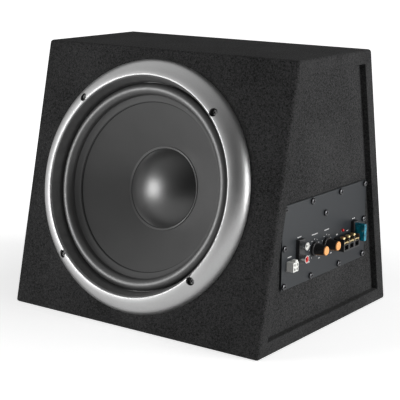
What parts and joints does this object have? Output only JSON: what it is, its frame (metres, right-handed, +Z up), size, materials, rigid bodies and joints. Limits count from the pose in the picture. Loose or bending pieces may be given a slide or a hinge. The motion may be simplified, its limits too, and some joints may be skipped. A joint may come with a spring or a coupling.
{
  "type": "powered car subwoofer",
  "caption": "Wedge-shaped carpeted cabinet with a ringed cone driver in its leaning front and an amplifier plate with knobs, sockets, terminals and a blade fuse in its end.",
  "frame": {"origin": "centre of the underside of the cabinet's base", "axes": "+Z up; +X along the cabinet's width, towards the end with the amplifier; the driver faces -Y and a little upwards"},
  "size_m": [0.3402, 0.2773, 0.293],
  "materials": {
    "fibreboard": "raw",
    "carpet": "felted",
    "satin_metal": "satin",
    "black_rubber": "matte",
    "black_steel": "satin",
    "cone_plastic": "satin",
    "cap_plastic": "gloss",
    "former_foil": "plain",
    "copper": "enamelled",
    "spider_cloth": "resin-stiffened",
    "plated_steel": "plated",
    "ferrite": "sintered",
    "black_screws": "black oxide",
    "tags": "tinned",
    "foam": "foam",
    "circuit_laminate": "solder mask",
    "sink_metal": "extruded",
    "black_plastic": "moulded",
    "can_sleeve": "sleeve",
    "toroid_wire": "enamelled",
    "silver_plate": "polished",
    "white_plastic": "moulded",
    "red_plastic": "moulded",
    "fuse_plastic": "translucent",
    "lamp": "clear",
    "orange_plastic": "moulded",
    "brass_screws": "plated",
    "lead_jacket": "insulated"
  },
  "bodies": {
    "enclosure": {"amp_gasket": "foam", "amp_plate": "black_steel", "base_board": "fibreboard", "base_carpet": "carpet", "basket": "black_steel", "capacitors": "can_sleeve", "circuit_board": "circuit_laminate", "driver_gasket": "black_rubber", "driver_screws": "black_screws", "driver_terminals": "tags", "end_carpets": "carpet", "front_baffle": "fibreboard", "fuse_holder": "black_plastic", "heat_sink": "sink_metal", "heat_sink_screw": "black_screws", "input_connector": "white_plastic", "left_end_board": "fibreboard", "magnet": "ferrite", "plate_screws": "black_screws", "pole_plate": "plated_steel", "pot_nuts": "plated_steel", "potentiometers": "black_plastic", "power_led": "lamp", "power_transistors": "black_plastic", "rca_barrels": "silver_plate", "rca_housing": "black_plastic", "rca_insulator_left": "white_plastic", "rca_insulator_right": "red_plastic", "rear_board": "fibreboard", "right_end_board": "fibreboard", "speaker_leads": "lead_jacket", "spider": "spider_cloth", "surround": "black_rubber", "terminal_block": "black_plastic", "terminal_frames": "plated_steel", "tinsel_leads": "copper", "top_board": "fibreboard", "top_plate": "plated_steel", "toroid": "toroid_wire", "trim_ring": "satin_metal", "wrap_carpet": "carpet"},
    "cone_assembly": {"cone": "cone_plastic", "dust_cap": "cap_plastic", "coil_former": "former_foil", "voice_coil": "copper"},
    "crossover_control": {"crossover_shaft": "silver_plate", "crossover_knob": "black_plastic", "crossover_knob_cap": "orange_plastic"},
    "gain_control": {"gain_shaft": "silver_plate", "gain_knob": "black_plastic", "gain_knob_cap": "orange_plastic"},
    "fuse": {"fuse_body": "fuse_plastic", "fuse_blades": "tags"},
    "terminal_pad_1": {"terminal_pad_1": "plated_steel"},
    "terminal_screw_1": {"terminal_screw_1": "brass_screws"},
    "terminal_pad_2": {"terminal_pad_2": "plated_steel"},
    "terminal_screw_2": {"terminal_screw_2": "brass_screws"},
    "terminal_pad_3": {"terminal_pad_3": "plated_steel"},
    "terminal_screw_3": {"terminal_screw_3": "brass_screws"}
  },
  "joints": [
    {"name": "cone_slide", "type": "slide", "parent": "enclosure", "child": "cone_assembly", "axis": [0, -0.9763, 0.2166], "range_m": [-0.008, 0.008], "stiffness_N_per_m": 2500, "deforming": ["surround", "spider", "tinsel_leads"]},
    {"name": "crossover_turn", "type": "hinge", "parent": "enclosure", "child": "crossover_control", "pos_m": [0.1678, -0.022, 0.0915], "axis": [-1, 0, 0], "range_deg": [0, 300]},
    {"name": "gain_turn", "type": "hinge", "parent": "enclosure", "child": "gain_control", "pos_m": [0.1678, 0.003, 0.0915], "axis": [-1, 0, 0], "range_deg": [0, 300]},
    {"name": "fuse_pull", "type": "slide", "parent": "enclosure", "child": "fuse", "axis": [1, 0, 0], "range_m": [0, 0.016]},
    {"name": "terminal_pad_1_slide", "type": "slide", "parent": "enclosure", "child": "terminal_pad_1", "axis": [0, 0, -1], "range_m": [0, 0.0024]},
    {"name": "terminal_screw_1_turn", "type": "hinge", "parent": "terminal_pad_1", "child": "terminal_screw_1", "pos_m": [0.1671, 0.0255, 0.0918], "axis": [0, 0, -1], "range_deg": [0, 1080]},
    {"name": "terminal_pad_2_slide", "type": "slide", "parent": "enclosure", "child": "terminal_pad_2", "axis": [0, 0, -1], "range_m": [0, 0.0024]},
    {"name": "terminal_screw_2_turn", "type": "hinge", "parent": "terminal_pad_2", "child": "terminal_screw_2", "pos_m": [0.1671, 0.037, 0.0918], "axis": [0, 0, -1], "range_deg": [0, 1080]},
    {"name": "terminal_pad_3_slide", "type": "slide", "parent": "enclosure", "child": "terminal_pad_3", "axis": [0, 0, -1], "range_m": [0, 0.0024]},
    {"name": "terminal_screw_3_turn", "type": "hinge", "parent": "terminal_pad_3", "child": "terminal_screw_3", "pos_m": [0.1671, 0.0485, 0.0918], "axis": [0, 0, -1], "range_deg": [0, 1080]}
  ],
  "couplings": [
    {"joint": "terminal_screw_1_turn", "follows": "terminal_pad_1_slide", "rad_per_m": 7854},
    {"joint": "terminal_screw_2_turn", "follows": "terminal_pad_2_slide", "rad_per_m": 7854},
    {"joint": "terminal_screw_3_turn", "follows": "terminal_pad_3_slide", "rad_per_m": 7854}
  ]
}
